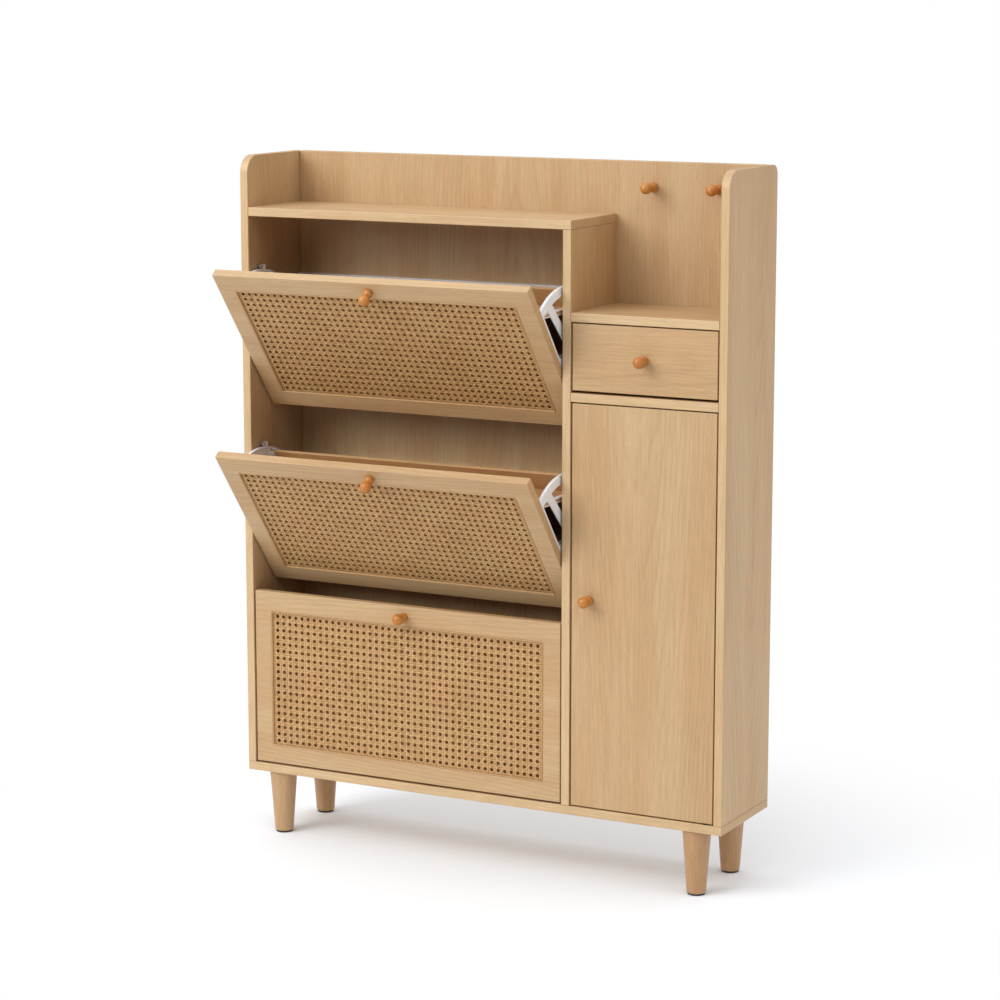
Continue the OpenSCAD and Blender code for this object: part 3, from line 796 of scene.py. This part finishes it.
def make_beads():
    """The half-round beads that hold the cane in its windows."""
    low, high = corners("lower_flap_bead")
    profile = bead_profile(low.y, high.y)
    rings = [[Vector((x, y, z)) for x, z in window_ring(inset)] for inset, y in profile]
    count = len(rings[0])
    faces = []
    for k in range(len(rings)):
        after = (k + 1) % len(rings)
        for i in range(count):
            j = (i + 1) % count
            faces.append((k * count + i, k * count + j, after * count + j, after * count + i))
    mesh = bpy.data.meshes.new("bead")
    mesh.from_pydata([v for ring in rings for v in ring], [], faces)
    turn_outwards(mesh)
    mesh.shade_smooth()
    mesh.set_sharp_from_angle(angle=BEAD_SHARP)
    mesh.materials.append(wood("bead_wood", "bead", Matrix.Identity(4), "X", BEAD_SEED, BEAD_PITH))
    for flap in FLAPS:
        body = f"{flap}_flap"
        piece = bpy.data.objects.new(f"{flap}_bead_half_round", mesh)
        bpy.context.scene.collection.objects.link(piece)
        piece.matrix_world = FLAP_PLACES[body]
        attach(piece, body)
        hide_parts(f"{body}_bead")


def make_flap_boards():
    """Each flap's frame, the backing behind its cane, and the boards of its bin."""
    for i, flap in enumerate(FLAPS):
        node = f"{flap}_flap_frame"
        oak = wood(f"{flap}_frame_oak", "oak", middle_place(node), "X", FRAME_SEED + i, FLAP_PITH)
        paint(rounded(node), oak)
        node = f"{flap}_flap_backing"
        seed = BACKING_SEED + i
        finish_node(node, wood(f"{flap}_backing_wood", "backing", middle_place(node), "X", seed))
        for part in ("bin_rear_board", "bin_shelves"):
            node = f"{flap}_{part}"
            material = wood(f"{node}_wood", "bin", middle_place(node), "X", BIN_SEED + i)
            paint(rounded(node, BIN_EDGE), material)


def make_brackets(white):
    """The moulded brackets at both ends of each bin."""
    for flap in FLAPS:
        for hand in ("left", "right"):
            paint(rounded(f"{flap}_bin_bracket_{hand}", BRACKET_EDGE), white)


# ---------------------------------------------------------------- small parts


def finish_node(node, material):
    """Gives a CAD node that keeps its shape a material."""
    for place in CAD[node].material_slots:
        place.material = material


def make_turned_parts():
    """The knobs and the coat pegs."""
    knobs = ("drawer_knob", "door_knob", *(f"{flap}_flap_knob" for flap in FLAPS), "coat_pegs")
    for seed, node in enumerate(knobs, TURNED_SEED):
        finish_node(node, wood(f"{node}_wood", "turned", middle_place(node), "Y", seed))


# Pan-head screws: head radius, head height, recess radius and recess depth
KNOB_SCREW = (0.0038, 0.0022, 0.0016, 0.0012)
FLANGE_SCREW = (0.0030, 0.0018, 0.0013, 0.0010)
SCREW_SINK = 0.0002

# The brackets' flange screws, about a flap's pivot: along X, up Z, and the flange's rear face
FLANGE_SCREW_XS = (-0.280, 0.280)
FLANGE_SCREW_ZS = (-0.045, 0.118)
FLANGE_REAR = -0.004

# A head's outline: its upright rim's share of its height, and its flat top's radius over the recess's
HEAD_RIM = 0.25
HEAD_TOP = 1.25
DOME_STEPS = 6
HEX_SIDES = 6
HEAD_STEPS = 36
SCREW_SHARP = math.radians(35)


def screw_head(bm, place, size):
    """A domed head with a hexagonal recess. It stands on the face at place and points along its +Y."""
    head_r, head_h, recess_r, recess_d = size
    top_r = recess_r * HEAD_TOP
    profile = [(head_r, -SCREW_SINK)]
    for step in range(DOME_STEPS + 1):
        a = math.radians(90) * step / DOME_STEPS
        height = head_h * (HEAD_RIM + (1 - HEAD_RIM) * math.sin(a))
        profile.append((top_r + (head_r - top_r) * math.cos(a), height))
    rings = []
    for radius, height in profile:
        turns = [2 * math.pi * i / HEAD_STEPS for i in range(HEAD_STEPS)]
        rings.append([Vector((radius * math.cos(a), height, radius * math.sin(a))) for a in turns])
    for height in (head_h, head_h - recess_d):
        ring = []
        for i in range(HEAD_STEPS):
            a = 2 * math.pi * i / HEAD_STEPS
            half = math.pi / HEX_SIDES
            flat = recess_r * math.cos(half) / math.cos(a % (2 * half) - half)
            ring.append(Vector((flat * math.cos(a), height, flat * math.sin(a))))
        rings.append(ring)
    made = [[bm.verts.new(place @ point) for point in ring] for ring in rings]
    for lower, upper in zip(made, made[1:]):
        for i in range(HEAD_STEPS):
            j = (i + 1) % HEAD_STEPS
            bm.faces.new((lower[i], lower[j], upper[j], upper[i]))
    bm.faces.new(made[0])
    bm.faces.new(made[-1])


def make_screws(zinc):
    """The screws of the knobs, behind each front, and of the brackets' flanges."""
    heads = {"drawer": [], "door": [], **{f"{flap}_flap": [] for flap in FLAPS}}
    for body, front, knob in (
        ("drawer", "drawer_front", "drawer_knob"),
        ("door", "door_panel", "door_knob"),
        *((f"{flap}_flap", f"{flap}_flap_frame", f"{flap}_flap_knob") for flap in FLAPS),
    ):
        low, high = corners(knob)
        rear = corners(front)[1].y
        spot = Vector(((low.x + high.x) / 2, rear, (low.z + high.z) / 2))
        heads[body].append((spot, KNOB_SCREW))
    for flap in FLAPS:
        for x in FLANGE_SCREW_XS:
            for z in FLANGE_SCREW_ZS:
                heads[f"{flap}_flap"].append((Vector((x, FLANGE_REAR, z)), FLANGE_SCREW))
    for body, screws in heads.items():
        bm = bmesh.new()
        for spot, size in screws:
            screw_head(bm, body_place(body) @ Matrix.Translation(spot), size)
        bmesh.ops.recalc_face_normals(bm, faces=bm.faces)
        mesh = bpy.data.meshes.new(f"{body}_screws")
        bm.to_mesh(mesh)
        bm.free()
        mesh.shade_smooth()
        mesh.set_sharp_from_angle(angle=SCREW_SHARP)
        mesh.materials.append(zinc)
        linked(f"{body}_screws", mesh, body)


def make_legs():
    """The turned legs, with rounded rims."""
    for seed, node in enumerate(("front_legs", "rear_legs"), LEG_SEED):
        paint(rounded(node, LEG_EDGE), wood(f"{node}_wood", "leg", middle_place(node), "Z", seed))


# ---------------------------------------------------------------- floor and light

WHITE = (1, 1, 1, 1)

# The floor's size and colour, how far it lies under the feet, and where it fades from and to
FLOOR_R = 60.0
FLOOR_SIDES = 96
FLOOR_COLOUR = (0.86, 0.885, 0.92, 1)
FLOOR_DROP = 0.0002
FLOOR_FADE = (0.36, 1.0)

# Light from the faded floor, the horizon and the zenith, and the height where the zenith begins
BACKDROP_GLOW = 0.95
HORIZON_LEVEL = 0.2
ZENITH_LEVEL = 1.3
ZENITH_FROM = 0.85

LAMP_AIM = Vector((0, 0, 0.6))

# Name: watts, size in metres, place
LAMPS = {
    "key": (172, 3.4, (-2.4, -3.8, 3.3)),
    "side": (16, 1.6, (4.6, 0.4, 1.3)),
}


def white_to_camera(s, lit):
    """A strength of 1 where the camera looks straight at it, and lit where it only lights the scene."""
    seen = s.node("ShaderNodeLightPath", {}).outputs["Is Camera Ray"]
    return s.node("ShaderNodeMapRange", {"Value": seen, "To Min": lit, "To Max": 1.0}).outputs["Result"]


def make_floor():
    """A pale disc that fades into the backdrop's white away from the cabinet."""
    bm = bmesh.new()
    bmesh.ops.create_circle(bm, cap_ends=True, radius=FLOOR_R, segments=FLOOR_SIDES)
    mesh = bpy.data.meshes.new("floor")
    bm.to_mesh(mesh)
    bm.free()
    floor = bpy.data.objects.new("floor", mesh)
    floor.location.z = -FLOOR_DROP
    bpy.context.scene.collection.objects.link(floor)
    s = Shader(bpy.data.materials.new("floor"))
    where = s.node("ShaderNodeTexCoord", {}).outputs["Object"]
    fade = s.remap(s.length(where), *FLOOR_FADE)
    matt = s.node("ShaderNodeBsdfDiffuse", {"Color": FLOOR_COLOUR}).outputs[0]
    strength = white_to_camera(s, BACKDROP_GLOW)
    glow = s.node("ShaderNodeEmission", {"Color": WHITE, "Strength": strength}).outputs[0]
    both = s.node("ShaderNodeMixShader", {0: fade, 1: matt, 2: glow}).outputs[0]
    s.node("ShaderNodeOutputMaterial", {"Surface": both})
    mesh.materials.append(s.owner)


def make_world():
    """A white backdrop that lights the cabinet from above and less from the horizon."""
    world = bpy.data.worlds.new("studio")
    bpy.context.scene.world = world
    s = Shader(world)
    way = s.node("ShaderNodeTexCoord", {}).outputs["Generated"]
    height = s.node("ShaderNodeSeparateXYZ", {"Vector": way}).outputs["Z"]
    lit = s.remap(height, 0.0, ZENITH_FROM, HORIZON_LEVEL, ZENITH_LEVEL)
    strength = white_to_camera(s, lit)
    light = s.node("ShaderNodeBackground", {"Color": WHITE, "Strength": strength})
    s.node("ShaderNodeOutputWorld", {"Surface": light.outputs[0]})


def make_lamps():
    """A soft key at the upper left of the front and a low one square to the right side panel."""
    for name, (watts, size, where) in LAMPS.items():
        data = bpy.data.lights.new(name, "AREA")
        data.energy = watts
        data.size = size
        lamp = bpy.data.objects.new(name, data)
        lamp.location = where
        lamp.visible_camera = False
        aim = LAMP_AIM - lamp.location
        lamp.rotation_mode = "QUATERNION"
        lamp.rotation_quaternion = aim.to_track_quat("-Z", "Y")
        bpy.context.scene.collection.objects.link(lamp)


# ---------------------------------------------------------------- the cabinet

bpy.context.scene.view_settings.view_transform = "Standard"
make_camera()
make_world()
make_lamps()
make_floor()

white_plastic = plastic("white_plastic", srgb(238, 240, 244), srgb(230, 233, 238), 0.36)
dark_plastic = plastic("dark_plastic", srgb(52, 48, 44), srgb(42, 39, 36), 0.5)
zinc = steel("zinc_steel", srgb(196, 198, 200), 0.32)

make_boards()
make_fronts()
make_drawer_box()
make_cane()
make_beads()
make_flap_boards()
make_brackets(white_plastic)
make_turned_parts()
make_legs()
make_screws(zinc)

finish_node("pivot_sockets", white_plastic)
finish_node("door_bushes", dark_plastic)
for node in ("back_rails", "door_catch"):
    paint(rounded(node, MOULDED_EDGE), white_plastic)
for node in ("shelf_pins", "leg_bolts", "cam_fittings", "flap_stops", "door_pins"):
    finish_node(node, zinc)
for node in ("runner_rails", "runner_slides"):
    paint(rounded(node, RUNNER_EDGE), zinc)
paint(rounded("foot_glides", MOULDED_EDGE), dark_plastic)
